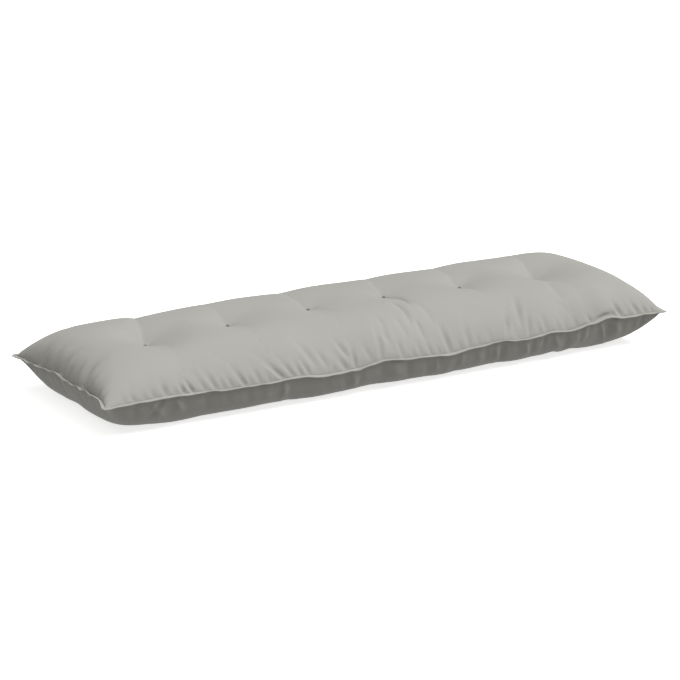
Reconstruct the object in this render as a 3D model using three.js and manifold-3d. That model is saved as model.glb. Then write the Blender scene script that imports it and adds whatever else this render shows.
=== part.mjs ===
// A long back cushion for a bench, lying on its back on the plane z = 0. Two cloth panels meet in
// a knife edge with a narrow sewn flange all round, and one row of six thread ties tufts the
// filling. Units are millimetres, +X runs along the length and +Z is up.

import * as THREE from 'three';
import { mergeVertices } from 'three/addons/utils/BufferGeometryUtils.js';
import Module from 'manifold-3d';

// Cushion: plan
const cushionLength = 1200; // from corner tip to corner tip
const cushionWidth = 384;
const sideDrawIn = 7; // the filling pulls the middle of each long seam in by this much
const endDrawIn = 10; // and the middle of each short seam
const endDrawInPower = 6; // how close to a corner the seam starts to flare out again
const sideDrawInPower = 18;
const flangeWidth = 7;
const flangeThickness = 2.4;
const cornerEar = { flatTo: 6, fullFrom: 24 }; // the flat ear, from the corner's tip inwards

// Cushion: section
const seamHeight = 67; // the seam runs round at half the thickness
const crownRise = 65; // from the seam to the top of the crown
const bellyDrop = 71; // from the seam to the belly, before the floor flattens it
// Towards each seam a panel falls off by (1 - distance ** power) ** bend, from 1 in the middle to 0
const crownShape = {
  left: { power: 12, bend: 0.55 },
  right: { power: 18, bend: 0.55 },
  front: { power: 3.1, bend: 0.7 },
  back: { power: 4.2, bend: 0.55 },
};
const bellyShape = {
  left: { power: 26, bend: 1 },
  right: { power: 34, bend: 0.75 },
  front: { power: 5, bend: 0.68 },
  back: { power: 5.6, bend: 0.68 },
};
const cornerDroop = 3; // the loose corners hang a little below the seam
const cornerDroopReach = 45;
const seamLiftReach = 65; // how far in from the edge the waves of the seam carry

// Tufting ties, from the left end to the right. The crown is drawn in most at the two end ties.
// The trough behind a tie leans along the cushion and fades out over its reach. The ties were set by
// hand, so their spacing is a little uneven.
const tufts = [
  { at: -422, crownPull: 1.6, lean: 0.35, reach: 140 },
  { at: -253, crownPull: 0.8, lean: 0.15, reach: 85 },
  { at: -84, crownPull: 0.42, lean: 0.08, reach: 95 },
  { at: 79, crownPull: 0.32, lean: 0.3, reach: 95 },
  { at: 248, crownPull: 0.8, lean: 0.14, reach: 90 },
  { at: 422, crownPull: 1.5, lean: 0.2, reach: 90 },
];
const bellyPull = 1.5; // the pull at every tie on the belly, which the floor flattens between them
const dimple = { depth: 7.5, radius: 26, frontStretch: 1.8 };
const crossTrough = { depth: 4, halfWidth: 21, frontReach: 60 }; // across the width, through a tie
const alongTrough = { depth: 3, halfWidth: 15, reach: 60 }; // along the row of ties
const pitRadius = 5; // the small pit into which the thread pulls the cloth
const pitMouthRadius = 6.5;
const pitDepth = 6;
const threadRadius = 1.1;
const stitchLength = 7;
const stitchRadius = 1.2;
const gap = 0.3; // between a tie and the cloth
const pitSides = 12;
const threadSides = 8;
const stitchCapRings = 2;

// Waves of the seam: at is the place along the edge, and lift is how far the seam rises there
const frontSeam = [
  { at: -600, lift: 0 },
  { at: -530, lift: -2 },
  { at: -470, lift: -1 },
  { at: -400, lift: -4 },
  { at: -340, lift: -8 },
  { at: -280, lift: -9 },
  { at: -210, lift: -7 },
  { at: -144, lift: -13 },
  { at: -90, lift: -12 },
  { at: -27, lift: -4 },
  { at: 34, lift: -10 },
  { at: 117, lift: -14 },
  { at: 160, lift: -10 },
  { at: 225, lift: -7 },
  { at: 280, lift: -12 },
  { at: 345, lift: -6 },
  { at: 382, lift: -10 },
  { at: 425, lift: -3 },
  { at: 467, lift: 5 },
  { at: 513, lift: -2 },
  { at: 600, lift: 0 },
];
const backSeam = [
  { at: -600, lift: 0 },
  { at: -520, lift: 2 },
  { at: -430, lift: -2 },
  { at: -345, lift: -6 },
  { at: -250, lift: -1 },
  { at: -165, lift: 3 },
  { at: -85, lift: -3 },
  { at: 0, lift: 4 },
  { at: 90, lift: -2 },
  { at: 170, lift: 2 },
  { at: 245, lift: -3 },
  { at: 330, lift: 4 },
  { at: 410, lift: -1 },
  { at: 505, lift: 2 },
  { at: 600, lift: 0 },
];
const leftSeam = [
  { at: -192, lift: 0 },
  { at: -150, lift: 5 },
  { at: -85, lift: 2 },
  { at: -30, lift: 0 },
  { at: 22, lift: 5 },
  { at: 70, lift: 0 },
  { at: 124, lift: -5 },
  { at: 192, lift: 0 },
];
const rightSeam = [
  { at: -192, lift: 0 },
  { at: -150, lift: 6 },
  { at: -90, lift: 2 },
  { at: 20, lift: 1 },
  { at: 85, lift: -3 },
  { at: 145, lift: -2 },
  { at: 192, lift: 0 },
];

// The deepest folds of the crown. A fold starts at the place (at, across), mostly beside the seam,
// runs into the crown for about its reach and leans along the edge as it goes.
const foldHead = { from: -12, to: 8 }; // where a fold opens, counted inwards from its start
const crownFolds = [
  { at: -424, across: -176, reach: 26, lean: 0.5, depth: 2.5, halfWidth: 9 },
  { at: -222, across: -174, reach: 44, lean: 0.5, depth: 3.5, halfWidth: 10 },
  { at: -106, across: -172, reach: 48, lean: -0.1, depth: 3.5, halfWidth: 11 },
  { at: 3, across: -172, reach: 66, lean: 0.33, depth: 4.5, halfWidth: 12 },
  { at: 60, across: -125, reach: 105, lean: -0.19, depth: 5, halfWidth: 10 },
  { at: 116, across: -172, reach: 70, lean: -0.1, depth: 4, halfWidth: 11 },
  { at: 229, across: -172, reach: 50, lean: -0.33, depth: 3.5, halfWidth: 11 },
  { at: 281, across: -158, reach: 66, lean: -0.24, depth: 4, halfWidth: 10 },
  { at: 384, across: -150, reach: 40, lean: -0.1, depth: 3, halfWidth: 11 },
  { at: 484, across: -174, reach: 30, lean: 0.1, depth: 4, halfWidth: 10 },
  { at: -400, across: 174, reach: 36, lean: 0.2, depth: 3.5, halfWidth: 11 },
  { at: -170, across: 173, reach: 54, lean: -0.25, depth: 4, halfWidth: 12 },
  { at: 75, across: 173, reach: 51, lean: 0.2, depth: 4, halfWidth: 12 },
  { at: 320, across: 174, reach: 42, lean: -0.2, depth: 3.5, halfWidth: 11 },
];

// Mesh density: cells along and across each panel, of which the outermost are the flange
const cellsAlong = 78;
const cellsAcross = 28;
const edgeCrowding = 0.3; // how much closer the grid lines stand beside the seam
const mergeDistance = 1e-4;

const halfLength = cushionLength / 2;
const halfWidth = cushionWidth / 2;

const clothMaterial = new THREE.MeshStandardMaterial({ color: 0xa9a9a3, roughness: 0.92, metalness: 0 });
const threadMaterial = new THREE.MeshStandardMaterial({ color: 0x7d7d77, roughness: 0.8, metalness: 0 });

const wasm = await Module();
wasm.setup();

const bell = (distance, spread) => Math.exp(-((distance / spread) ** 2));

// The height that a table of seam waves gives at a place along the edge
function liftAt(table, place) {
  const next = Math.max(1, table.findIndex((row) => row.at >= place));
  const from = table[next - 1];
  const to = table[next];
  const share = THREE.MathUtils.smoothstep(place, from.at, to.at);
  return THREE.MathUtils.lerp(from.lift, to.lift, share);
}

// How far the waves of all four seams and the hang of the corners move a point up or down
function seamLift(x, y) {
  const fade = (distance) => bell(distance, seamLiftReach);
  const waves =
    liftAt(frontSeam, x) * fade(y + halfWidth) +
    liftAt(backSeam, x) * fade(halfWidth - y) +
    liftAt(leftSeam, y) * fade(x + halfLength) +
    liftAt(rightSeam, y) * fade(halfLength - x);
  const toCorner = Math.hypot(halfLength - Math.abs(x), halfWidth - Math.abs(y));
  return waves - cornerDroop * bell(toCorner, cornerDroopReach);
}

// The pull of the ties: a round dimple, a trough across the width and a crease along the row.
// A stronger pull also draws in a wider dimple, which reaches furthest to the front.
function tuftDepth(x, y, isCrown) {
  let depth = 0;
  for (const tuft of tufts) {
    const pull = isCrown ? tuft.crownPull : bellyPull;
    const dx = x - tuft.at;
    const radius = Math.hypot(dx, y < 0 ? y / dimple.frontStretch : y);
    const round = dimple.depth * bell(radius, dimple.radius * Math.sqrt(pull));
    const fade = bell(y, y > 0 ? tuft.reach : crossTrough.frontReach);
    const across = crossTrough.depth * bell(dx - tuft.lean * y, crossTrough.halfWidth) * fade;
    const along = alongTrough.depth * bell(y, alongTrough.halfWidth) * bell(dx, alongTrough.reach);
    depth += pull * (round + across + along);
  }
  return depth;
}

function foldDepth(x, y) {
  let depth = 0;
  for (const fold of crownFolds) {
    const inward = (fold.across - y) * Math.sign(fold.across);
    const aside = x - fold.at + fold.lean * inward;
    const length = THREE.MathUtils.smoothstep(inward, foldHead.from, foldHead.to) * bell(inward, fold.reach);
    depth += fold.depth * length * bell(aside, fold.halfWidth);
  }
  return depth;
}

// Share of the full crown or belly at a point whose body coordinates u and v run from -1 to 1
function fullness(u, v, shape) {
  const towards = (distance, side) => (1 - Math.max(0, distance) ** side.power) ** side.bend;
  const ends = towards(-u, shape.left) * towards(u, shape.right);
  return ends * towards(-v, shape.front) * towards(v, shape.back);
}

// Body coordinate of a grid line: 1 on the seam, more than 1 on the flange's outer edge
function bodyCoordinate(line, cells) {
  const seamLine = 1 - 2 / cells;
  const flangeLine = 1 - 1 / cells;
  if (Math.abs(line) > flangeLine) return Math.sign(line) * 2;
  const share = line / seamLine;
  return share + (edgeCrowding / Math.PI) * Math.sin(Math.PI * share);
}

// Plan position of the seam or of a point inside it, with the seam drawn in between the corners
function planPoint(u, v) {
  const clampedU = THREE.MathUtils.clamp(u, -1, 1);
  const clampedV = THREE.MathUtils.clamp(v, -1, 1);
  const endPull = endDrawIn * (1 - Math.abs(clampedV) ** endDrawInPower);
  const sidePull = sideDrawIn * (1 - Math.abs(clampedU) ** sideDrawInPower);
  const x = clampedU * (halfLength - flangeWidth - endPull);
  const y = clampedV * (halfWidth - flangeWidth - sidePull);
  const pastEnd = Math.abs(u) > 1 ? Math.sign(u) * flangeWidth : 0;
  const pastSide = Math.abs(v) > 1 ? Math.sign(v) * flangeWidth : 0;
  return { x: x + pastEnd, y: y + pastSide, u: clampedU, v: clampedV };
}

// Near a corner the panels lie flat on each other, so the filling stops short of the tip
function cornerShare(x, y) {
  const toCorner = Math.hypot(halfLength - Math.abs(x), halfWidth - Math.abs(y));
  return THREE.MathUtils.smoothstep(toCorner, cornerEar.flatTo, cornerEar.fullFrom);
}

function panelHeight(x, y, u, v, isCrown) {
  const seam = seamHeight + seamLift(x, y);
  const halfCloth = flangeThickness / 2;
  if (isCrown) {
    const full = crownRise * fullness(u, v, crownShape) * cornerShare(x, y);
    const relief = Math.min(tuftDepth(x, y, true) + foldDepth(x, y), full);
    return seam + halfCloth + full - relief;
  }
  const full = bellyDrop * fullness(u, v, bellyShape) * cornerShare(x, y);
  const relief = Math.min(tuftDepth(x, y, false), full);
  return Math.max(0, seam - halfCloth - full + relief);
}

function toManifold(geometry) {
  const bare = geometry.clone();
  bare.deleteAttribute('normal');
  bare.deleteAttribute('uv');
  const merged = mergeVertices(bare, mergeDistance);
  return new wasm.Manifold(
    new wasm.Mesh({
      numProp: 3,
      vertProperties: new Float32Array(merged.attributes.position.array),
      triVerts: new Uint32Array(merged.index.array),
    }),
  );
}

function fromManifold(manifold) {
  const mesh = manifold.getMesh();
  const geometry = new THREE.BufferGeometry();
  geometry.setAttribute('position', new THREE.BufferAttribute(mesh.vertProperties, 3));
  geometry.setIndex(new THREE.BufferAttribute(mesh.triVerts, 1));
  geometry.computeVertexNormals();
  return geometry;
}

// The stuffed body: a box whose top and bottom faces become the two panels
function stuffedBody() {
  const geometry = new THREE.BoxGeometry(2, 2, 2, cellsAlong, cellsAcross, 1);
  const points = geometry.attributes.position;
  for (let i = 0; i < points.count; i += 1) {
    const along = bodyCoordinate(points.getX(i), cellsAlong);
    const across = bodyCoordinate(points.getY(i), cellsAcross);
    const { x, y, u, v } = planPoint(along, across);
    points.setXYZ(i, x, y, panelHeight(x, y, u, v, points.getZ(i) > 0));
  }
  return geometry;
}

// Heights of the cloth at a tie, on the crown and on the belly
function tieHeights(place) {
  const u = place / (halfLength - flangeWidth - endDrawIn);
  return {
    crown: panelHeight(place, 0, u, 0, true),
    belly: panelHeight(place, 0, u, 0, false),
  };
}

// What the thread takes out of the body: a pit in each face and a narrow hole between them
function pitCutter(place) {
  const { crown, belly } = tieHeights(place);
  const hole = threadRadius + gap;
  const above = crown + crownRise;
  const below = belly - bellyDrop;
  const openRadius = 2 * pitMouthRadius - pitRadius;
  const profile = [
    [0, below],
    [openRadius, below],
    [pitMouthRadius, belly],
    [pitRadius, belly + pitDepth],
    [hole, belly + pitDepth],
    [hole, crown - pitDepth],
    [pitRadius, crown - pitDepth],
    [pitMouthRadius, crown],
    [openRadius, above],
    [0, above],
  ];
  const cutter = new THREE.LatheGeometry(
    profile.map(([radius, height]) => new THREE.Vector2(radius, height)),
    pitSides,
  );
  cutter.rotateX(Math.PI / 2);
  cutter.translate(place, 0, 0);
  return cutter;
}

function cushion() {
  let body = toManifold(stuffedBody());
  for (const tuft of tufts) {
    body = body.subtract(toManifold(pitCutter(tuft.at)));
  }
  const mesh = new THREE.Mesh(fromManifold(body), clothMaterial);
  mesh.name = 'cushion';
  return mesh;
}

// One tie: a thread through the filling with a short stitch lying across each of its ends
function tuftTie(place, number) {
  const { crown, belly } = tieHeights(place);
  const topStitch = crown - pitDepth + gap + stitchRadius;
  const bottomStitch = belly + pitDepth - gap - stitchRadius;
  const span = topStitch - bottomStitch;
  const thread = new THREE.CylinderGeometry(threadRadius, threadRadius, span, threadSides);
  thread.rotateX(Math.PI / 2);
  thread.translate(0, 0, (topStitch + bottomStitch) / 2);
  let tie = toManifold(thread);
  for (const height of [topStitch, bottomStitch]) {
    const straight = stitchLength - 2 * stitchRadius;
    const stitch = new THREE.CapsuleGeometry(stitchRadius, straight, stitchCapRings, threadSides);
    stitch.rotateZ(Math.PI / 2);
    stitch.translate(0, 0, height);
    tie = tie.add(toManifold(stitch));
  }
  const mesh = new THREE.Mesh(fromManifold(tie), threadMaterial);
  mesh.name = `tuft_tie_${number}`;
  mesh.position.x = place;
  return mesh;
}

const backCushion = new THREE.Group();
backCushion.add(cushion());
tufts.forEach((tuft, index) => backCushion.add(tuftTie(tuft.at, index + 1)));

export default backCushion;
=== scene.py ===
"""A long back cushion for a bench, lying on its belly side on a pale studio floor.

Two panels of plain woven cloth meet in a knife edge with a narrow sewn flange all round, and six
thread ties tuft the filling. Every piece is in metres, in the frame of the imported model.
"""

import math
import random

import bmesh
import bpy
import numpy as np
from mathutils import Matrix, Vector


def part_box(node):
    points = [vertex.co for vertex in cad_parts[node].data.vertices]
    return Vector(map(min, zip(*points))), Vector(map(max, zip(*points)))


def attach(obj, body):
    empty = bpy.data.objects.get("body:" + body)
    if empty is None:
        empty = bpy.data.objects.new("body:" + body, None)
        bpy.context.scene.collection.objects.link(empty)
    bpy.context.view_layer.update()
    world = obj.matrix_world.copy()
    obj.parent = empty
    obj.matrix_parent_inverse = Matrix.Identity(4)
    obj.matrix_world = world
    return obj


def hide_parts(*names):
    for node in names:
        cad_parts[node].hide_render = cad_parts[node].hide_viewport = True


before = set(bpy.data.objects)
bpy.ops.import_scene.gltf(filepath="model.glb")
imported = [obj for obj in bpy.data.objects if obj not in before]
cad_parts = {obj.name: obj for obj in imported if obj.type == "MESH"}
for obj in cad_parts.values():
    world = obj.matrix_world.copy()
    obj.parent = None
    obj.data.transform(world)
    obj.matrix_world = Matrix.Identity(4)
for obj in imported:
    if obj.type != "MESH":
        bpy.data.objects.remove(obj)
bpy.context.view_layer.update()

mm = 0.001

# Plan and section of the stuffed cushion, from the frame and in the proportions of its solid
low_corner, high_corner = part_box("cushion")
half_length = (high_corner.x - low_corner.x) / 2
half_width = (high_corner.y - low_corner.y) / 2
side_draw_in = 7 * mm
end_draw_in = 10 * mm
side_draw_in_power = 18
end_draw_in_power = 6
flange_width = 7 * mm
flange_thickness = 2.4 * mm
corner_ear_reach = 12 * mm
seam_height = 67 * mm
crown_rise = 65 * mm
belly_drop = 71 * mm
# Each side's fullness is (1 - distance**power)**bend, from 1 in the middle to 0 at the seam
crown_shape = {"left": (14, 0.55), "right": (18, 0.55), "front": (3.1, 0.7), "back": (4.2, 0.55)}
belly_shape = {"left": (26, 1.0), "right": (34, 0.75), "front": (5.0, 0.68), "back": (5.6, 0.68)}
corner_droop = 3 * mm
corner_droop_reach = 45 * mm
seam_lift_reach = 65 * mm

# Waves of the seam, in mm: the place along the edge and how far the seam rises there
front_seam = [
    (-600, 0), (-530, -2), (-470, -1), (-400, -4), (-340, -8), (-280, -9), (-210, -7),
    (-144, -13), (-90, -12), (-27, -4), (34, -10), (117, -14), (160, -10), (225, -7), (280, -12),
    (345, -6), (382, -10), (425, -3), (467, 5), (513, -2), (600, 0),
]
back_seam = [
    (-600, 0), (-520, 2), (-430, -2), (-345, -6), (-250, -1), (-165, 3), (-85, -3), (0, 4),
    (90, -2), (170, 2), (245, -3), (330, 4), (410, -1), (505, 2), (600, 0),
]
left_seam = [(-192, 0), (-150, 5), (-85, 2), (-30, 0), (22, 5), (70, 0), (124, -5), (192, 0)]
right_seam = [(-192, 0), (-150, 6), (-90, 2), (20, 1), (85, -3), (145, -2), (192, 0)]

# Tufts: where the ties pull the two panels together
tie_names = [name for name in sorted(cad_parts) if name.startswith("tuft_tie")]
tie_boxes = [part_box(name) for name in tie_names]
tie_centres = [(low.x + high.x) / 2 for low, high in tie_boxes]
tie_tops = [high.z for low, high in tie_boxes]
tie_bottoms = [low.z for low, high in tie_boxes]
trough_lean = [0.35, 0.15, 0.08, 0.3, 0.14, 0.2]
trough_reach = [140 * mm, 85 * mm, 110 * mm, 110 * mm, 100 * mm, 90 * mm]
trough_strength = [1, 1.1, 1.7, 1.7, 1.2, 1]
# The pull of a tie as shares of its whole depth: a broad bowl that reaches far to the front, a
# steep dimple, a trough behind the tie that is steep on its left, and a crease along the row
bowl = {"share": 0.64, "left": 30 * mm, "right": 46 * mm, "back": 26 * mm, "front": 46 * mm}
dimple = {"share": 0.2, "reach": 13 * mm, "round": 2.5 * mm, "front_stretch": 4}
behind_tie = (-4 * mm, 24 * mm)
back_trough = {"share": 0.38, "left": 12 * mm, "right": 38 * mm, "round": 3 * mm}
row_trough = {"share": 0.15, "back": 13 * mm, "front": 44 * mm, "reach": 45 * mm, "round": 3 * mm}
usual_pull = 12 * mm
stitch_shows = 2.4 * mm
pit = {"depth": 1.6 * mm, "radius": 4 * mm}

# Puckers that start at a seam. Rows give, in mm, the place along the seam, how far inwards the
# pucker is deepest, over how far it fades from there, how far it leans to the left, or on the two
# ends to the front, for each mm inwards, its depth and its half width. A depth below 0 is a
# raised ridge.
front_puckers = [
    (-548, 3, 12, 0.2, 1.1, 5),
    (-528, 4, 12, 0.3, 2.5, 5),
    (-507, 3, 10, 0.2, 1.7, 4),
    (-489, 4, 11, 0.3, 2.1, 5),
    (-466, 10, 12, 0.2, 4.2, 6),
    (-446, 3, 8, 0.4, 1.5, 4),
    (-431, 5, 13, 0.25, 4.3, 5),
    (-413, 6, 14, 0.5, 4.3, 5),
    (-390, 8, 14, 0.4, 2.5, 5),
    (-369, 14, 17, 0.4, 3.4, 6),
    (-353, 7, 14, 0.3, 2.4, 4),
    (-336, 6, 14, 0.4, 2.5, 4),
    (-311, 10, 20, 0.45, 4.4, 6),
    (-298, 6, 12, 0.4, 1.7, 4),
    (-281, 12, 16, 0.3, 2.7, 5),
    (-262, 4, 10, 0.2, 1.4, 4),
    (-235, 13, 20, 0.7, 3.8, 7),
    (-215, 12, 18, 0.5, 2.9, 5),
    (-200, 9, 16, 0.2, 3.5, 5),
    (-182, 10, 15, 0.4, 3.2, 5),
    (-162, 40, 24, 0.33, 3.0, 8),
    (-140, 28, 15, 0.33, 2.8, 6),
    (-131, 4, 10, 0.1, 1.5, 4),
    (-107, 9, 15, 0.4, 3.5, 7),
    (-90, 38, 16, 0.35, 3.9, 6),
    (-89, 16, 18, -0.1, 3.2, 5),
    (-54, 20, 17, 0.2, 1.6, 6),
    (-35, 25, 36, -0.2, 3.8, 6),
    (-5, 46, 18, 0.1, 2.8, 7),
    (10, 18, 18, 0, 3.2, 5),
    (33, 4, 10, 0, 1.5, 4),
    (50, 10, 16, 0.1, 1.8, 5),
    (70, 10, 14, 0.1, 2.0, 5),
    (87, 3, 10, 0, 1.5, 4),
    (110, 22, 26, 0, 4.4, 6),
    (133, 4, 12, 0, 1.4, 4),
    (151, 20, 20, -0.15, 3.0, 6),
    (172, 6, 14, -0.1, 1.5, 5),
    (199, 5, 14, 0, 1.2, 5),
    (232, 30, 18, -0.45, 4.2, 6),
    (264, 55, 28, -0.34, 4.4, 7),
    (258, 12, 20, 0, 1.8, 9),
    (281, 22, 18, -0.4, 3.6, 5),
    (306, 6, 10, -0.1, 1.8, 4),
    (321, 14, 12, -0.1, 2.1, 5),
    (348, 4, 14, 0, 0.9, 5),
    (366, 8, 18, 0.1, 1.1, 6),
    (388, 6, 16, 0, 1.5, 5),
    (420, 5, 10, 0.2, 2.0, 5),
    (450, 2, 5, 0, 5.0, 26),
    (472, 3, 8, 0.2, 1.4, 5),
    (487, 12, 15, 0.15, 5.2, 6),
    (506, 4, 10, 0, 1.2, 4),
    (525, 12, 14, 0.1, 3.2, 5),
    (543, 6, 12, 0, 2.4, 4),
    (561, 4, 10, 0, 1.5, 4),
]
belly_front_puckers = [
    (-528, 12, 20, -0.1, 2.0, 10),
    (-492, 22, 30, -0.6, -3.4, 12),
    (-472, 12, 16, 0.7, 4.2, 8),
    (-446, 14, 14, -0.42, -4.4, 9),
    (-430, 82, 30, 0, -5.0, 56),
    (-390, 12, 18, -0.22, 1.6, 9),
    (-350, 8, 16, -0.42, 1.2, 8),
    (-306, 12, 22, -0.22, 1.4, 10),
    (-268, 16, 20, -0.22, -1.6, 10),
    (-232, 16, 16, -0.12, -3.8, 7),
    (-221, 50, 22, -0.22, 2.4, 10),
    (-150, 8, 18, -0.42, 1.4, 9),
    (-112, 22, 22, -0.52, 3.0, 9),
    (-94, 18, 18, -0.42, -2.6, 7),
    (-76, 22, 20, -0.22, 2.0, 8),
    (-35, 12, 20, -0.42, 1.8, 9),
    (-4, 18, 24, -0.32, -3.2, 14),
    (21, 18, 26, -0.42, 3.2, 9),
    (60, 26, 26, -0.42, 2.4, 9),
    (79, 14, 16, -0.42, -1.8, 6),
    (124, 30, 24, -0.32, 2.4, 12),
    (138, 16, 16, -0.12, -1.8, 6),
    (172, 14, 18, -0.42, -2.0, 8),
    (188, 20, 20, -0.42, 2.2, 8),
    (210, 18, 20, -0.42, -3.0, 7),
    (224, 26, 28, -0.32, 3.8, 8),
    (256, 10, 14, -0.42, 1.6, 7),
    (276, 14, 16, -0.42, -3.0, 7),
    (290, 20, 22, -0.32, 3.2, 8),
    (318, 10, 16, -0.22, 3.0, 6),
    (338, 16, 16, -0.72, -4.2, 8),
    (366, 84, 26, 0, 6.0, 14),
    (366, 22, 24, -0.42, 4.8, 10),
    (389, 12, 14, -0.42, -2.0, 6),
    (460, 82, 30, 0, -6.0, 42),
    (409, 14, 18, -0.22, -2.8, 7),
    (440, 30, 30, -0.67, -4.4, 5),
    (456, 20, 18, -0.62, 2.8, 8),
    (478, 16, 16, -0.42, -4.6, 9),
    (515, 14, 16, -0.42, 2.0, 9),
    (537, 12, 14, -0.22, 3.6, 7),
]
left_puckers = [
    (150, 4, 16, 0, 1.5, 5),
    (97, 22, 26, 0.1, 5.6, 9),
    (72, 10, 20, -0.1, 2.6, 6),
    (46, 24, 26, 0, 4.6, 7),
    (10, 22, 28, 0.1, 5.6, 8),
    (-18, 12, 20, 0, 3.2, 6),
    (-40, 26, 24, 0.1, 3.4, 7),
    (-72, 30, 34, -0.1, 7.4, 13),
    (-112, 26, 30, 0, -2.8, 9),
    (-140, 6, 16, 0, 2.6, 5),
    (-160, 10, 16, 0.1, 2.0, 5),
]

# Free creases of the crown. Rows give, in mm, where a crease starts and ends in plan, how far
# its middle bows to the left of that line, its depth and its half width.
crown_creases = [
    ((-424, 0), (-418, -92), 16, 3.0, 12),
    ((-254, 0), (-244, -64), 8, 2.2, 10),
    ((-84, 0), (-68, -60), 6, 2.2, 9),
    ((-424, 0), (-408, -3), 0, 2.0, 4),
    ((-254, 0), (-240, -4), 0, 2.6, 4),
    ((-84, 0), (-66, -5), 0, 4.0, 4),
    ((249, 0), (266, -4), 0, 3.2, 4),
    ((79, 0), (85, -88), 7, 5.0, 5),
    ((60, -66), (50, -146), 6, 4.4, 6),
    ((70, -134), (66, -178), 0, 3.4, 6),
    ((94, -66), (99, -150), 5, 2.0, 9),
    ((32, -120), (35, -172), 0, 2.0, 6),
    ((-2, -110), (-10, -158), 4, 2.6, 7),
    ((249, 0), (243, -62), 5, 1.8, 9),
    ((424, 0), (408, -70), -2, 2.0, 12),
    ((402, -72), (388, -142), -5, 3.0, 12),
]

# How a pucker starts at the seam, widens inwards and stands between two shoulders
pucker_start = (-5 * mm, 2 * mm)
pucker_widening = 0.3
pucker_shoulders = 0.9
rim_width = 2 * mm
# Where along its length a crease comes in and fades out, as shares of that length, and its
# section, as shares of its half width
crease_in = (-0.12, 0.1)
crease_out = (0.55, 1.15)
crease_section = {"flank": 0.7, "round": 0.25}

# Grid of each panel and where its lines stand closer
panel_columns = 460
panel_rows = 106
closer_at_ties = {"gain": 1.6, "reach": 9 * mm}
closer_at_seam = {"gain": 0.9, "reach": 45 * mm}
# Samples of a curve, the step of a slope in panel coordinates, and how near two places are one
curve_samples = 4001
slope_step = 0.002
merge_distance = 0.01 * mm


def bell(distance, spread):
    return np.exp(-((distance / spread) ** 2))


def cusp(distance, spread, roundness):
    """Like a bell, but with steep straight flanks and a narrow bottom, as a pulled crease has."""
    return np.exp(-(np.sqrt(distance**2 + roundness**2) - roundness) / spread)


def smooth_step(value, start, stop):
    share = np.clip((value - start) / (stop - start), 0, 1)
    return share * share * (3 - 2 * share)


def wave_at(table, place):
    """The height that a table of seam waves gives at places along the edge."""
    rows = np.array(table, float) * mm
    after = np.clip(np.searchsorted(rows[:, 0], place), 1, len(rows) - 1)
    share = smooth_step(place, rows[after - 1, 0], rows[after, 0])
    return rows[after - 1, 1] * (1 - share) + rows[after, 1] * share


def to_corner(x, y):
    return np.hypot(half_length - np.abs(x), half_width - np.abs(y))


def seam_lift(x, y):
    waves = wave_at(front_seam, x) * bell(y + half_width, seam_lift_reach)
    waves = waves + wave_at(back_seam, x) * bell(half_width - y, seam_lift_reach)
    waves = waves + wave_at(left_seam, y) * bell(x + half_length, seam_lift_reach)
    waves = waves + wave_at(right_seam, y) * bell(half_length - x, seam_lift_reach)
    return waves - corner_droop * bell(to_corner(x, y), corner_droop_reach)


def plan(u, v):
    """Plan position of panel coordinates that run from -1 to 1 between the seams."""
    end_pull = end_draw_in * (1 - np.abs(v) ** end_draw_in_power)
    side_pull = side_draw_in * (1 - np.abs(u) ** side_draw_in_power)
    return u * (half_length - flange_width - end_pull), v * (half_width - flange_width - side_pull)


def one_side(distance, side):
    power, bend = side
    return (1 - np.clip(distance, 0, 1) ** power) ** bend


def fullness(u, v, shape):
    """Share of the full height, where each of the four sides falls off in its own way."""
    ends = one_side(-u, shape["left"]) * one_side(u, shape["right"])
    return ends * one_side(-v, shape["front"]) * one_side(v, shape["back"])


def smooth_panel(u, v, crown):
    """The stuffed shape of a panel before the ties and the puckers: points as rows of x, y, z."""
    u = np.clip(u, -1, 1)
    v = np.clip(v, -1, 1)
    x, y = plan(u, v)
    ear = smooth_step(to_corner(x, y), corner_ear_reach / 2, corner_ear_reach * 2)
    seam = seam_height + seam_lift(x, y)
    half_cloth = flange_thickness / 2
    over = seam + half_cloth + crown_rise * fullness(u, v, crown_shape) * ear
    under = seam - half_cloth - belly_drop * fullness(u, v, belly_shape) * ear
    return np.stack([x, y, np.where(crown, over, under)], axis=-1)


def cloth_lengths():
    """Panel coordinates along and across, with the length of cloth from the middle to each."""
    line = np.linspace(-1, 1, curve_samples)
    tables = []
    for u, v in ((line, 0 * line), (0 * line, line)):
        points = smooth_panel(u, v, True)
        steps = np.linalg.norm(np.diff(points, axis=0), axis=1)
        run = np.concatenate([[0], np.cumsum(steps)])
        tables.append(run - run[-1] / 2)
    return line, tables[0], tables[1]


panel_line, length_run, width_run = cloth_lengths()
cloth_half_length = length_run[-1]
cloth_half_width = width_run[-1]
# Cloth lengths from the middle to each tie
tie_places = np.interp(
    np.array(tie_centres) / (half_length - flange_width - end_draw_in), panel_line, length_run
)


def grid_places(count, half, run, centres):
    """Cloth lengths of the grid lines, which stand closer at the seams and at the ties."""
    line = np.linspace(-half, half, curve_samples)
    density = 1 + closer_at_seam["gain"] * bell(half - np.abs(line), closer_at_seam["reach"])
    for centre in centres:
        density = density + closer_at_ties["gain"] * bell(line - centre, closer_at_ties["reach"])
    filled = np.concatenate([[0], np.cumsum((density[1:] + density[:-1]) / 2)])
    places = np.interp(np.linspace(0, filled[-1], count + 1), filled, line)
    return (places - places[::-1]) / 2


def tie_pulls(crown):
    """How far each tie draws the smooth panel in, so that the cloth meets the tie's stitch."""
    pulls = []
    for place, top, bottom in zip(tie_places, tie_tops, tie_bottoms):
        u = np.interp(place, length_run, panel_line)
        height = smooth_panel(u, 0.0, crown)[2]
        drop = height - top if crown else bottom - height
        pulls.append(drop + stitch_shows - pit["depth"])
    return pulls


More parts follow.
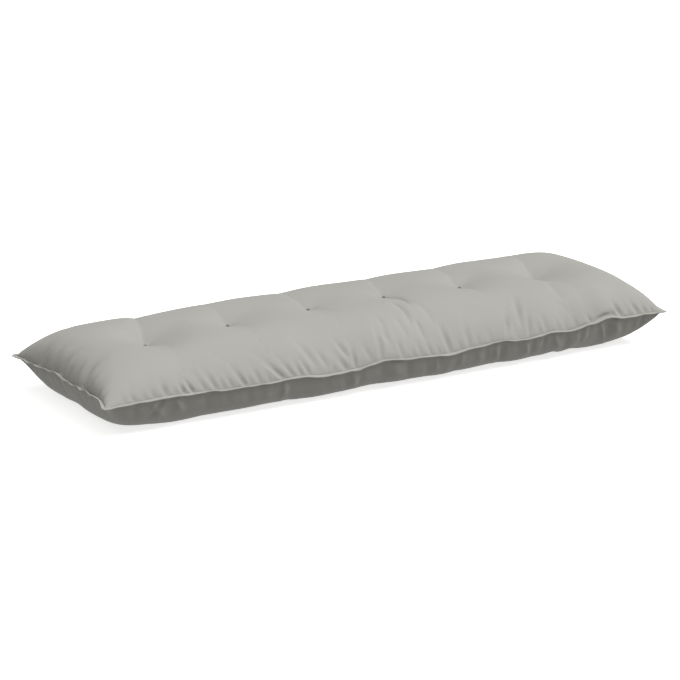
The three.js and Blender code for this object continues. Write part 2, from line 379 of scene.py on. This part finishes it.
def relief(a, b, pulls):
    """How deep the ties pull the cloth in, at cloth lengths a along and b across."""
    depth = np.zeros_like(a)
    in_front = b < 0
    behind = smooth_step(b, *behind_tie)
    ties = zip(tie_places, pulls, trough_lean, trough_reach, trough_strength)
    for place, pull, lean, reach, strength in ties:
        aside = a - place
        wider = math.sqrt(pull / usual_pull)
        bowl_along = np.where(aside < 0, bowl["left"], bowl["right"]) * wider
        bowl_across = np.where(in_front, bowl["front"], bowl["back"]) * wider
        here = bowl["share"] * bell(aside, bowl_along) * bell(b, bowl_across)
        radius = np.hypot(aside, b / np.where(in_front, dimple["front_stretch"], 1))
        here += dimple["share"] * cusp(radius, dimple["reach"] * wider, dimple["round"])
        off_line = aside - lean * b
        steep = np.where(off_line < 0, back_trough["left"], back_trough["right"])
        back = cusp(off_line, steep, back_trough["round"]) * bell(b, reach)
        here += back_trough["share"] * strength * behind * back
        crease = np.where(in_front, row_trough["front"], row_trough["back"])
        along = cusp(b, crease, row_trough["round"])
        here += row_trough["share"] * along * bell(aside, row_trough["reach"])
        depth += pull * here
    return depth


crown_pulls = tie_pulls(True)
belly_pulls = tie_pulls(False)


def pit_depth(a, b):
    depth = np.zeros_like(a)
    for place in tie_places:
        depth += pit["depth"] * bell(np.hypot(a - place, b), pit["radius"])
    return depth


def ripple(aside, half_width_of_fold):
    """Section of a pucker: a valley between two low shoulders."""
    q = aside / half_width_of_fold
    return (1 - pucker_shoulders * q**2) * np.exp(-(q**2))


def pucker_depth(rows, along, inward):
    depth = np.zeros_like(along)
    start = smooth_step(inward, *pucker_start)
    for at, peak, reach, lean, deep, wide in rows:
        spread = wide * mm * (1 + pucker_widening * inward / ((peak + reach) * mm))
        aside = along - at * mm + lean * inward
        fade = bell(inward - peak * mm, reach * mm)
        depth += deep * mm * start * fade * ripple(aside, spread)
    return depth


def seam_puckers(seed, length, spacing, reach, deep):
    """Rows of uneven puckers for a seam that the front view doesn't show closely."""
    draw = random.Random(seed)
    rows = []
    place = -length / 2 + spacing
    while place < length / 2 - spacing:
        reaching = reach * draw.uniform(0.5, 1.5)
        lean = draw.uniform(-0.2, 0.25)
        deepest = deep * draw.uniform(0.5, 1.5)
        half_width_of_fold = draw.uniform(5, 8)
        rows.append((place, reaching / 3, reaching, lean, deepest, half_width_of_fold))
        place += spacing * draw.uniform(0.7, 1.4)
    return rows


back_puckers = seam_puckers(3, 1160, 24, 34, 1.5)
right_puckers = seam_puckers(8, 340, 25, 30, 1.3)
belly_back_puckers = seam_puckers(17, 1160, 30, 30, 1.2)
belly_left_puckers = seam_puckers(19, 340, 30, 26, 1.0)
belly_right_puckers = seam_puckers(23, 340, 30, 26, 1.0)
crown_edges = (front_puckers, back_puckers, left_puckers, right_puckers)
belly_edges = (belly_front_puckers, belly_back_puckers, belly_left_puckers, belly_right_puckers)


def edge_puckers(a, b, edges):
    front, back, left, right = edges
    depth = pucker_depth(front, a, b + cloth_half_width)
    depth += pucker_depth(back, a, cloth_half_width - b)
    depth += pucker_depth(left, b, a + cloth_half_length)
    return depth + pucker_depth(right, b, cloth_half_length - a)


def crease_depth(a, b):
    """Listed creases: each runs from its start to its end along a shallow arc and fades out."""
    depth = np.zeros_like(a)
    for (x0, y0), (x1, y1), bow, deep, wide in crown_creases:
        start = np.array([x0, y0]) * mm
        way = np.array([x1, y1]) * mm - start
        length = np.hypot(*way)
        way = way / length
        forward = ((a - start[0]) * way[0] + (b - start[1]) * way[1]) / length
        aside = (b - start[1]) * way[0] - (a - start[0]) * way[1]
        aside = aside - bow * mm * 4 * np.clip(forward, 0, 1) * (1 - np.clip(forward, 0, 1))
        ends = smooth_step(forward, *crease_in) * (1 - smooth_step(forward, *crease_out))
        flank = wide * mm * crease_section["flank"]
        depth += deep * mm * ends * cusp(aside, flank, wide * mm * crease_section["round"])
    return depth


def outward_normals(u, v, crown):
    """Directions out of the smooth panels, from their slopes along and across."""
    side_u = np.where(u < 0, -1, 1)
    side_v = np.where(v < 0, -1, 1)
    reach_u = np.minimum(np.abs(u) + slope_step, 1) * side_u
    reach_v = np.minimum(np.abs(v) + slope_step, 1) * side_v
    back_u = reach_u - 2 * slope_step * side_u
    back_v = reach_v - 2 * slope_step * side_v
    along = smooth_panel(reach_u, v, crown) - smooth_panel(back_u, v, crown)
    across = smooth_panel(u, reach_v, crown) - smooth_panel(u, back_v, crown)
    normal = np.cross(along * side_u[:, None], across * side_v[:, None])
    normal /= np.linalg.norm(normal, axis=1)[:, None] + 1e-12
    return normal * np.where(crown, 1, -1)[:, None]


def panel_points(a, b, crown):
    """Points of the dressed panels at cloth lengths a and b, with their folds along the normal."""
    u = np.interp(a, length_run, panel_line)
    v = np.interp(b, width_run, panel_line)
    points = smooth_panel(u, v, crown)
    full = np.abs(points[:, 2] - seam_height - seam_lift(points[:, 0], points[:, 1]))
    pull = np.where(crown, relief(a, b, crown_pulls), relief(a, b, belly_pulls))
    pull = np.minimum(pull, full) + pit_depth(a, b)
    points[:, 2] -= pull * np.where(crown, 1, -1)
    crown_folds = edge_puckers(a, b, crown_edges) + crease_depth(a, b)
    folds = np.where(crown, crown_folds, edge_puckers(a, b, belly_edges))
    inward = np.minimum(cloth_half_length - np.abs(a), cloth_half_width - np.abs(b))
    rim = smooth_step(inward, 0, rim_width)
    points -= outward_normals(u, v, crown) * (folds * rim)[:, None]
    points[:, 2] = np.maximum(points[:, 2], low_corner.z)
    return points


def new_object(name, mesh_data, material, smooth=True):
    piece = bpy.data.objects.new(name, mesh_data)
    bpy.context.scene.collection.objects.link(piece)
    mesh_data.materials.append(material)
    mesh_data.polygons.foreach_set("use_smooth", [smooth] * len(mesh_data.polygons))
    return piece


def cushion_cover(material):
    """The stuffed cover: a grid pulled into a flat box whose two faces become the two panels."""
    shell = bmesh.new()
    bmesh.ops.create_grid(shell, x_segments=panel_columns, y_segments=panel_rows, size=1)
    pulled = bmesh.ops.extrude_face_region(shell, geom=shell.faces[:])
    lower = [item for item in pulled["geom"] if isinstance(item, bmesh.types.BMVert)]
    bmesh.ops.translate(shell, verts=lower, vec=(0, 0, -1))
    bmesh.ops.recalc_face_normals(shell, faces=shell.faces[:])
    cover = bpy.data.meshes.new("cushion_cover")
    shell.to_mesh(cover)
    shell.free()
    count = len(cover.vertices)
    grid = np.zeros(count * 3)
    cover.vertices.foreach_get("co", grid)
    grid = grid.reshape(-1, 3)
    columns = grid_places(panel_columns, cloth_half_length, length_run, tie_places)
    rows = grid_places(panel_rows, cloth_half_width, width_run, [0])
    columns_of = np.rint((grid[:, 0] + 1) / 2 * panel_columns).astype(int)
    rows_of = np.rint((grid[:, 1] + 1) / 2 * panel_rows).astype(int)
    a = columns[columns_of]
    b = rows[rows_of]
    crown = grid[:, 2] > -0.5
    points = panel_points(a, b, crown)
    cover.vertices.foreach_set("co", points.ravel())
    cover.update()
    add_cloth_map(cover, a, b)
    piece = new_object("cushion_cover", cover, material)
    settle(piece, a, b, crown, columns_of, rows_of)
    return piece


# Settling of the cover as cloth over the pressure of its filling
settling = {"frames": 14, "quality": 5, "pressure": 1.8, "mass": 0.25}
stiffness = {"stretch": 20, "shear": 6, "bending": 0.03}
cloth_to_spare = {"panel": 0.002, "seam": 0.04, "seam_reach": 25 * mm}
tie_grip = 3.2 * mm
floor_touch = 0.2 * mm
farthest_move = 7 * mm
kept_swell = 0.25
swell_width = 9
fine_creases = {"middle": 0.55, "reach": 60 * mm}


def settle(cover, a, b, crown, columns_of, rows_of):
    """Runs the cover as cloth held at its seam, its ties and the floor, and keeps the folds."""
    count = len(cover.data.vertices)
    start = np.zeros(count * 3)
    cover.data.vertices.foreach_get("co", start)
    start = start.reshape(-1, 3)
    inward = np.minimum(cloth_half_width - np.abs(b), cloth_half_length - np.abs(a))
    held = inward < merge_distance
    for place in tie_places:
        held |= np.hypot(a - place, b) < tie_grip
    held |= ~crown & (start[:, 2] < floor_touch)
    cover.vertex_groups.new(name="held").add([int(i) for i in np.nonzero(held)[0]], 1.0, "REPLACE")
    near_seam = cover.vertex_groups.new(name="near seam")
    for index, share in enumerate(bell(inward, cloth_to_spare["seam_reach"])):
        near_seam.add([index], share, "REPLACE")
    cloth = cover.modifiers.new("cloth", "CLOTH")
    cloth.settings.quality = settling["quality"]
    cloth.settings.mass = settling["mass"]
    cloth.settings.tension_stiffness = stiffness["stretch"]
    cloth.settings.compression_stiffness = stiffness["stretch"]
    cloth.settings.shear_stiffness = stiffness["shear"]
    cloth.settings.bending_stiffness = stiffness["bending"]
    cloth.settings.use_pressure = True
    cloth.settings.uniform_pressure_force = settling["pressure"]
    cloth.settings.vertex_group_mass = "held"
    cloth.settings.vertex_group_shrink = "near seam"
    cloth.settings.shrink_min = -cloth_to_spare["panel"]
    cloth.settings.shrink_max = -cloth_to_spare["seam"]
    cloth.settings.effector_weights.gravity = 0
    cloth.collision_settings.use_collision = False
    cloth.point_cache.frame_end = settling["frames"]
    for number in range(1, settling["frames"] + 1):
        bpy.context.scene.frame_set(number)
    settled = cover.evaluated_get(bpy.context.evaluated_depsgraph_get()).data
    points = np.zeros(count * 3)
    settled.vertices.foreach_get("co", points)
    move = points.reshape(-1, 3) - start
    for panel in (crown, ~crown):
        move[panel] -= (1 - kept_swell) * broad_part(move[panel], columns_of[panel], rows_of[panel])
    near = bell(inward, fine_creases["reach"])[:, None]
    move *= fine_creases["middle"] + (1 - fine_creases["middle"]) * near
    length = np.linalg.norm(move, axis=1)[:, None]
    move *= np.minimum(1, farthest_move / np.maximum(length, 1e-9))
    points = start + move
    points[held] = start[held]
    points[:, 2] = np.maximum(points[:, 2], low_corner.z)
    cover.modifiers.clear()
    cover.vertex_groups.clear()
    cover.data.vertices.foreach_set("co", points.ravel())
    cover.data.update()
    bpy.context.scene.frame_set(1)


def broad_part(move, columns_of, rows_of):
    """The slow part of a panel's moves, by a running mean over its grid in both directions."""
    sheet = np.zeros((panel_columns + 1, panel_rows + 1, 3))
    sheet[columns_of, rows_of] = move
    kernel = np.hanning(2 * swell_width + 3)[1:-1]
    kernel /= kernel.sum()
    for axis in (0, 1):
        widths = [(0, 0)] * 3
        widths[axis] = (swell_width, swell_width)
        wide_sheet = np.pad(sheet, widths, mode="edge")
        sheet = np.apply_along_axis(np.convolve, axis, wide_sheet, kernel, mode="valid")
    return sheet[columns_of, rows_of]


def add_cloth_map(mesh_data, a, b):
    """A UV map in metres of flat cloth, for the weave."""
    corner_vertices = np.zeros(len(mesh_data.loops), int)
    mesh_data.loops.foreach_get("vertex_index", corner_vertices)
    cloth_map = mesh_data.uv_layers.new(name="cloth")
    cloth_map.data.foreach_set("uv", np.stack([a, b], axis=-1)[corner_vertices].ravel())


# Flange: the sewn allowance that stands out of the seam all round
flange_loops = 900
flange_section = 14
flange_inside = 3 * mm
flange_half_thickness = 1.15 * mm
flange_squareness = {"out": 0.45, "up": 0.6}
# Waves of the flange: the seed, the longest and the shortest wave
reach_waves = (31, 400 * mm, 60 * mm)
slow_waves = (41, 700 * mm, 160 * mm)
fast_waves = (43, 120 * mm, 30 * mm)
reach_swing = 0.5 * mm
slow_tilt = math.radians(7)
fast_tilt = math.radians(5)
# At the left end the flange stands up and waves more
left_end = {"from": 40 * mm, "full": 15 * mm, "tilt": math.radians(20), "more_waves": 1.6}
waves_in_noise = 14


def seam_loop(count):
    """Points of the seam all round, the way out from the cushion and the length run so far."""
    turn = np.linspace(0, 1, 4 * curve_samples)
    side = (turn * 4).astype(int) % 4
    share = turn * 4 - np.floor(turn * 4)
    along = 2 * share - 1
    u = np.select([side == 0, side == 1, side == 2, side == 3], [along, 1, -along, -1])
    v = np.select([side == 0, side == 1, side == 2, side == 3], [-1, along, 1, -along])
    x, y = plan(u, v)
    z = seam_height + seam_lift(x, y)
    path = np.stack([x, y, z], axis=-1)
    steps = np.linalg.norm(np.diff(path, axis=0), axis=1)
    run = np.concatenate([[0], np.cumsum(steps)])
    places = np.linspace(0, run[-1], count + 1)
    points = np.stack([np.interp(places, run, path[:, i]) for i in range(3)], axis=-1)
    return points, places, run[-1]


def loop_noise(places, total, seed, longest, shortest):
    """A smooth wave without a repeat, closed over the whole seam."""
    draw = random.Random(seed)
    value = np.zeros_like(places)
    first = max(1, round(total / longest))
    last = round(total / shortest)
    turns_of_waves = range(first, last + 1, max(1, (last - first) // waves_in_noise))
    for turns in turns_of_waves:
        strength = draw.uniform(0.5, 1)
        value += strength * np.sin(2 * math.pi * (turns * places / total + draw.random()))
    return value / np.sqrt(max(1, len(turns_of_waves)) / 2)


def flange_path():
    points, places, total = seam_loop(flange_loops)
    ahead = np.roll(points[:-1], -1, axis=0)
    behind = np.roll(points[:-1], 1, axis=0)
    along = ahead - behind
    along /= np.linalg.norm(along, axis=1)[:, None]
    along = np.vstack([along, along[:1]])
    out = np.stack([along[:, 1], -along[:, 0], 0 * along[:, 0]], axis=-1)
    out /= np.linalg.norm(out, axis=1)[:, None]
    up = np.cross(out, along)
    return points, places, total, out, up


def seam_flange(material):
    points, places, total, out, up = flange_path()
    strip = bmesh.new()
    bmesh.ops.create_grid(strip, x_segments=flange_loops, y_segments=flange_section, size=1)
    band = bpy.data.meshes.new("seam_flange")
    strip.to_mesh(band)
    strip.free()
    grid = np.zeros(len(band.vertices) * 3)
    band.vertices.foreach_get("co", grid)
    grid = grid.reshape(-1, 3)
    loop = np.rint((grid[:, 0] + 1) / 2 * flange_loops).astype(int)
    turn = (grid[:, 1] + 1) * math.pi
    tilt = flange_tilt(points, places, total)
    reach = flange_width + reach_swing * loop_noise(places, total, *reach_waves)
    half_reach = (reach + flange_inside) / 2
    c = np.cos(turn)
    s = np.sin(turn)
    outward = np.sign(c) * np.abs(c) ** flange_squareness["out"] * half_reach[loop]
    outward = outward + (reach - flange_inside)[loop] / 2
    raised = np.sign(s) * np.abs(s) ** flange_squareness["up"] * flange_half_thickness
    cos_tilt = np.cos(tilt)[loop]
    sin_tilt = np.sin(tilt)[loop]
    placed = points[loop] + out[loop] * (outward * cos_tilt - raised * sin_tilt)[:, None]
    placed += up[loop] * (outward * sin_tilt + raised * cos_tilt)[:, None]
    band.vertices.foreach_set("co", placed.ravel())
    band.update()
    add_cloth_map(band, places[loop], outward)
    merge_closed(band)
    return new_object("seam_flange", band, material)


def flange_tilt(points, places, total):
    """How far the flange stands up or hangs down, as an angle all round the seam."""
    slow = slow_tilt * loop_noise(places, total, *slow_waves)
    fast = fast_tilt * loop_noise(places, total, *fast_waves)
    left_start = half_length - left_end["from"]
    at_left = smooth_step(-points[:, 0], left_start, half_length - left_end["full"])
    return slow + fast * (1 + left_end["more_waves"] * at_left) + left_end["tilt"] * at_left


# Stitches of the tufts: strands of thread that arch over each tie and go down into the cloth
stitch = {"strands": 3, "radius": 0.7 * mm, "span": 2.1 * mm, "rise": 1.2}
strand_gap = 1.7 * stitch["radius"]
strand_steps = 10
strand_sides = 8
most_turn = 0.35
knot = {"radius": 1.1 * mm, "aside": 1.8 * mm}


def tuft_stitches(material):
    """A short bar of thread over each tie, with its knot beside it, on the crown and the belly."""
    work = bmesh.new()
    draw = random.Random(5)
    for x, top, bottom in zip(tie_centres, tie_tops, tie_bottoms):
        for height, up in ((top, 1), (bottom, -1)):
            middle = Vector((x, 0, height - up * stitch["span"] * stitch["rise"]))
            turn = Matrix.Rotation(draw.uniform(-most_turn, most_turn), 4, "Z")
            place = Matrix.Translation(middle) @ turn @ Matrix.Diagonal((1, 1, up * stitch["rise"], 1))
            for strand in range(stitch["strands"]):
                across = (strand - (stitch["strands"] - 1) / 2) * strand_gap
                thread_arch(work, place @ Matrix.Translation((0, across, 0)))
            seat = place @ Matrix.Translation((knot["aside"], 0, stitch["span"]))
            bmesh.ops.create_icosphere(work, subdivisions=2, radius=knot["radius"], matrix=seat)
    bmesh.ops.recalc_face_normals(work, faces=work.faces[:])
    thread = bpy.data.meshes.new("tuft_stitches")
    work.to_mesh(thread)
    work.free()
    return new_object("tuft_stitches", thread, material)


def thread_arch(work, place):
    """Half a ring of thread in the XZ plane, set in its place by a matrix."""
    upright = Matrix.Translation((stitch["span"], 0, 0))
    ring = bmesh.ops.create_circle(
        work, cap_ends=True, segments=strand_sides, radius=stitch["radius"], matrix=upright
    )
    faces = list({face for vert in ring["verts"] for face in vert.link_faces})
    before = set(work.verts) - set(ring["verts"])
    bmesh.ops.spin(
        work, geom=ring["verts"] + faces + list(faces[0].edges), cent=(0, 0, 0), axis=(0, 1, 0),
        angle=-math.pi, steps=strand_steps, use_duplicate=False,
    )
    arch = [vert for vert in work.verts if vert not in before]
    bmesh.ops.transform(work, matrix=place, verts=arch)


def merge_closed(mesh_data):
    """Joins the meeting edges of a grid that has been wrapped round, and turns its faces out."""
    work = bmesh.new()
    work.from_mesh(mesh_data)
    bmesh.ops.remove_doubles(work, verts=work.verts[:], dist=merge_distance)
    bmesh.ops.recalc_face_normals(work, faces=work.faces[:])
    work.to_mesh(mesh_data)
    work.free()


class Value:
    """A number socket of a material. Arithmetic on it adds Math nodes."""

    def __init__(self, finish, socket):
        self.finish = finish
        self.socket = socket

    def math(self, operation, *others):
        values = dict(enumerate((self, *others)))
        return self.finish.node("ShaderNodeMath", {"operation": operation}, values)

    def __add__(self, other):
        return self.math("ADD", other)

    __radd__ = __add__

    def __mul__(self, other):
        return self.math("MULTIPLY", other)

    __rmul__ = __mul__

    def __sub__(self, other):
        return self.math("SUBTRACT", other)

    def __rsub__(self, other):
        return self.finish.node("ShaderNodeMath", {"operation": "SUBTRACT"}, {0: other, 1: self})


class Finish:
    """A material under construction on one Principled shader."""

    def __init__(self, name):
        self.material = bpy.data.materials.new(name)
        self.material.use_nodes = True
        self.tree = self.material.node_tree
        self.surface = self.tree.nodes["Principled BSDF"]

    def node(self, kind, settings=None, sockets=None, output=0):
        """Adds any node, sets its settings, then gives its sockets their values or links."""
        made = self.tree.nodes.new(kind)
        for name, value in (settings or {}).items():
            setattr(made, name, value)
        for name, value in (sockets or {}).items():
            self.feed(made.inputs[name], value)
        return Value(self, made.outputs[output])

    def feed(self, socket, value):
        if isinstance(value, Value):
            self.tree.links.new(value.socket, socket)
        else:
            socket.default_value = value

    def noise(self, place, scale, detail=2.0, roughness=0.5):
        sockets = {"Vector": place, "Scale": scale, "Detail": detail, "Roughness": roughness}
        return self.node("ShaderNodeTexNoise", None, sockets)

    def stretched(self, place, scale):
        """Coordinates multiplied by a scale for each axis."""
        return self.node("ShaderNodeMapping", None, {"Vector": place, "Scale": scale})

    def mix_colors(self, share, first, second):
        values = {0: share, 6: first, 7: second}
        return self.node("ShaderNodeMix", {"data_type": "RGBA"}, values, output=2)

    def object_place(self):
        return self.node("ShaderNodeTexCoord", output="Object")

    def bumped(self, height, strength, depth):
        """Gives the surface a fine relief, with its depth in metres."""
        sockets = {"Strength": strength, "Distance": depth, "Height": height}
        self.feed(self.surface.inputs["Normal"], self.node("ShaderNodeBump", None, sockets))


# Plain weave: two threads each way make one turn of its waves
thread_pitch = 0.65 * mm
weave_turns = math.pi / thread_pitch
# Streaks along the threads, thick places and clouds, as repeats for each metre of cloth
warp_scale = (90, 1300, 1)
weft_scale = (1300, 90, 1)
slub_scale = (14, 420, 1)
cloud_scale = 9.0
cloth_dark = (0.335, 0.3285, 0.305, 1)
cloth_pale = (0.415, 0.406, 0.378, 1)
shade_shares = {"threads": 0.5, "clouds": 0.35, "slubs": 0.25, "crossings": 0.24}
cloth_roughness = {"usual": 0.86, "swing": 0.12}
cloth_relief = {"slubs": 0.3, "strength": 0.35, "depth": 0.25 * mm}


def cloth_material():
    """Plain-woven matt polyester: fine uneven threads both ways and faint clouds of shade."""
    finish = Finish("woven_cloth")
    cloth = finish.node("ShaderNodeUVMap", {"uv_map": "cloth"})
    place = finish.object_place()
    warp = finish.noise(finish.stretched(cloth, warp_scale), 1.0, 3.0)
    weft = finish.noise(finish.stretched(cloth, weft_scale), 1.0, 3.0)
    across = finish.node("ShaderNodeSeparateXYZ", None, {0: cloth}, output="X") * weave_turns
    along = finish.node("ShaderNodeSeparateXYZ", None, {0: cloth}, output="Y") * weave_turns
    crossings = across.math("SINE") * along.math("SINE")
    threads = (warp + weft) * 0.5 + crossings * shade_shares["crossings"]
    clouds = finish.noise(place, cloud_scale, 3.0)
    slubs = finish.noise(finish.stretched(cloth, slub_scale), 1.0, 2.0)
    shade = (threads - 0.5) * shade_shares["threads"] + (clouds - 0.5) * shade_shares["clouds"]
    shade = shade + (slubs - 0.5) * shade_shares["slubs"] + 0.5
    finish.feed(finish.surface.inputs["Base Color"], finish.mix_colors(shade, cloth_dark, cloth_pale))
    roughness = cloth_roughness["usual"] + (threads - 0.5) * cloth_roughness["swing"]
    finish.feed(finish.surface.inputs["Roughness"], roughness)
    height = threads + slubs * cloth_relief["slubs"]
    finish.bumped(height, cloth_relief["strength"], cloth_relief["depth"])
    finish.surface.inputs["Specular IOR Level"].default_value = 0.25
    finish.surface.inputs["Sheen Weight"].default_value = 0.12
    finish.surface.inputs["Sheen Roughness"].default_value = 0.5
    return finish.material


thread_dark = (0.19, 0.186, 0.175, 1)
thread_pale = (0.28, 0.274, 0.26, 1)
ply_scale = 900.0
ply_relief = {"strength": 0.5, "depth": 0.1 * mm}


def thread_material():
    """Grey twisted polyester thread, with its plies as slanting bands."""
    finish = Finish("sewing_thread")
    bands = {"Vector": finish.object_place(), "Scale": ply_scale}
    plies = finish.node("ShaderNodeTexWave", {"bands_direction": "DIAGONAL"}, bands)
    finish.feed(finish.surface.inputs["Base Color"], finish.mix_colors(plies, thread_dark, thread_pale))
    finish.surface.inputs["Roughness"].default_value = 0.7
    finish.bumped(plies, ply_relief["strength"], ply_relief["depth"])
    return finish.material


floor_dark = (0.86, 0.86, 0.86, 1)
floor_pale = (0.88, 0.88, 0.88, 1)
floor_half_size = 15
floor_gap = 0.3 * mm


def floor_material():
    finish = Finish("pale_floor")
    clouds = finish.noise(finish.object_place(), 3.0)
    finish.feed(finish.surface.inputs["Base Color"], finish.mix_colors(clouds, floor_dark, floor_pale))
    finish.surface.inputs["Roughness"].default_value = 0.95
    finish.surface.inputs["Specular IOR Level"].default_value = 0.1
    finish.surface.inputs["Emission Color"].default_value = (1, 1, 1, 1)
    finish.surface.inputs["Emission Strength"].default_value = 0.66
    return finish.material


# Studio: the camera stands where the view shows the left end and the front seam
camera_azimuth = math.radians(-30.66)
camera_elevation = math.radians(16.66)
camera_distance = 5.6906
camera_lens = 161.7
camera_aim = Vector((0, 0, 67 * mm))
camera_aim_right = -13 * mm
camera_aim_up = -15 * mm
# Soft lights: azimuth, elevation and softness in degrees, then power
soft_lights = {"key": (46, 60, 35, 2.42), "low_fill": (65, 6, 40, 0.42), "left_fill": (-80, 66, 50, 0.5)}
sky_colour = (1, 1, 0.975, 1)
sky_strength = 0.345


def direction(azimuth, elevation):
    """A unit vector: azimuth 0 points out from the front seam, and a quarter turn to the right."""
    flat = math.cos(elevation)
    return Vector((math.sin(azimuth) * flat, -math.cos(azimuth) * flat, math.sin(elevation)))


def add_camera():
    back = direction(camera_azimuth, camera_elevation)
    right = Vector((math.cos(camera_azimuth), math.sin(camera_azimuth), 0))
    up = back.cross(right)
    aim = camera_aim + right * camera_aim_right + up * camera_aim_up
    data = bpy.data.cameras.new("camera")
    data.lens = camera_lens
    data.clip_end = 60
    camera = bpy.data.objects.new("camera", data)
    bpy.context.scene.collection.objects.link(camera)
    camera.location = aim + back * camera_distance
    camera.rotation_euler = (-back).to_track_quat("-Z", "Y").to_euler()
    bpy.context.scene.camera = camera


def add_soft_light(name, azimuth, elevation, softness, power):
    """A far, broad light, with its angles in degrees."""
    data = bpy.data.lights.new(name, "SUN")
    data.angle = math.radians(softness)
    data.energy = power
    light = bpy.data.objects.new(name, data)
    bpy.context.scene.collection.objects.link(light)
    source = direction(math.radians(azimuth), math.radians(elevation))
    light.rotation_euler = source.to_track_quat("Z", "Y").to_euler()


def add_studio():
    world = bpy.data.worlds.new("studio")
    bpy.context.scene.world = world
    world.use_nodes = True
    background = world.node_tree.nodes["Background"]
    background.inputs["Color"].default_value = sky_colour
    background.inputs["Strength"].default_value = sky_strength
    for name, light in soft_lights.items():
        add_soft_light(name, *light)
    ground = bmesh.new()
    bmesh.ops.create_grid(ground, x_segments=1, y_segments=1, size=floor_half_size)
    bmesh.ops.translate(ground, verts=ground.verts[:], vec=(0, 0, low_corner.z - floor_gap))
    data = bpy.data.meshes.new("floor")
    ground.to_mesh(data)
    ground.free()
    floor = new_object("floor", data, floor_material(), smooth=False)
    floor.visible_diffuse = False
    bpy.context.scene.view_settings.view_transform = "Standard"


add_camera()
add_studio()
cloth_finish = cloth_material()
thread_finish = thread_material()
cover = cushion_cover(cloth_finish)
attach(cover, "root")
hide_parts("cushion")
flange = seam_flange(cloth_finish)
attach(flange, "root")
stitches = tuft_stitches(thread_finish)
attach(stitches, "root")
for name in tie_names:
    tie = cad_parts[name]
    for material_slot in tie.material_slots:
        material_slot.material = thread_finish
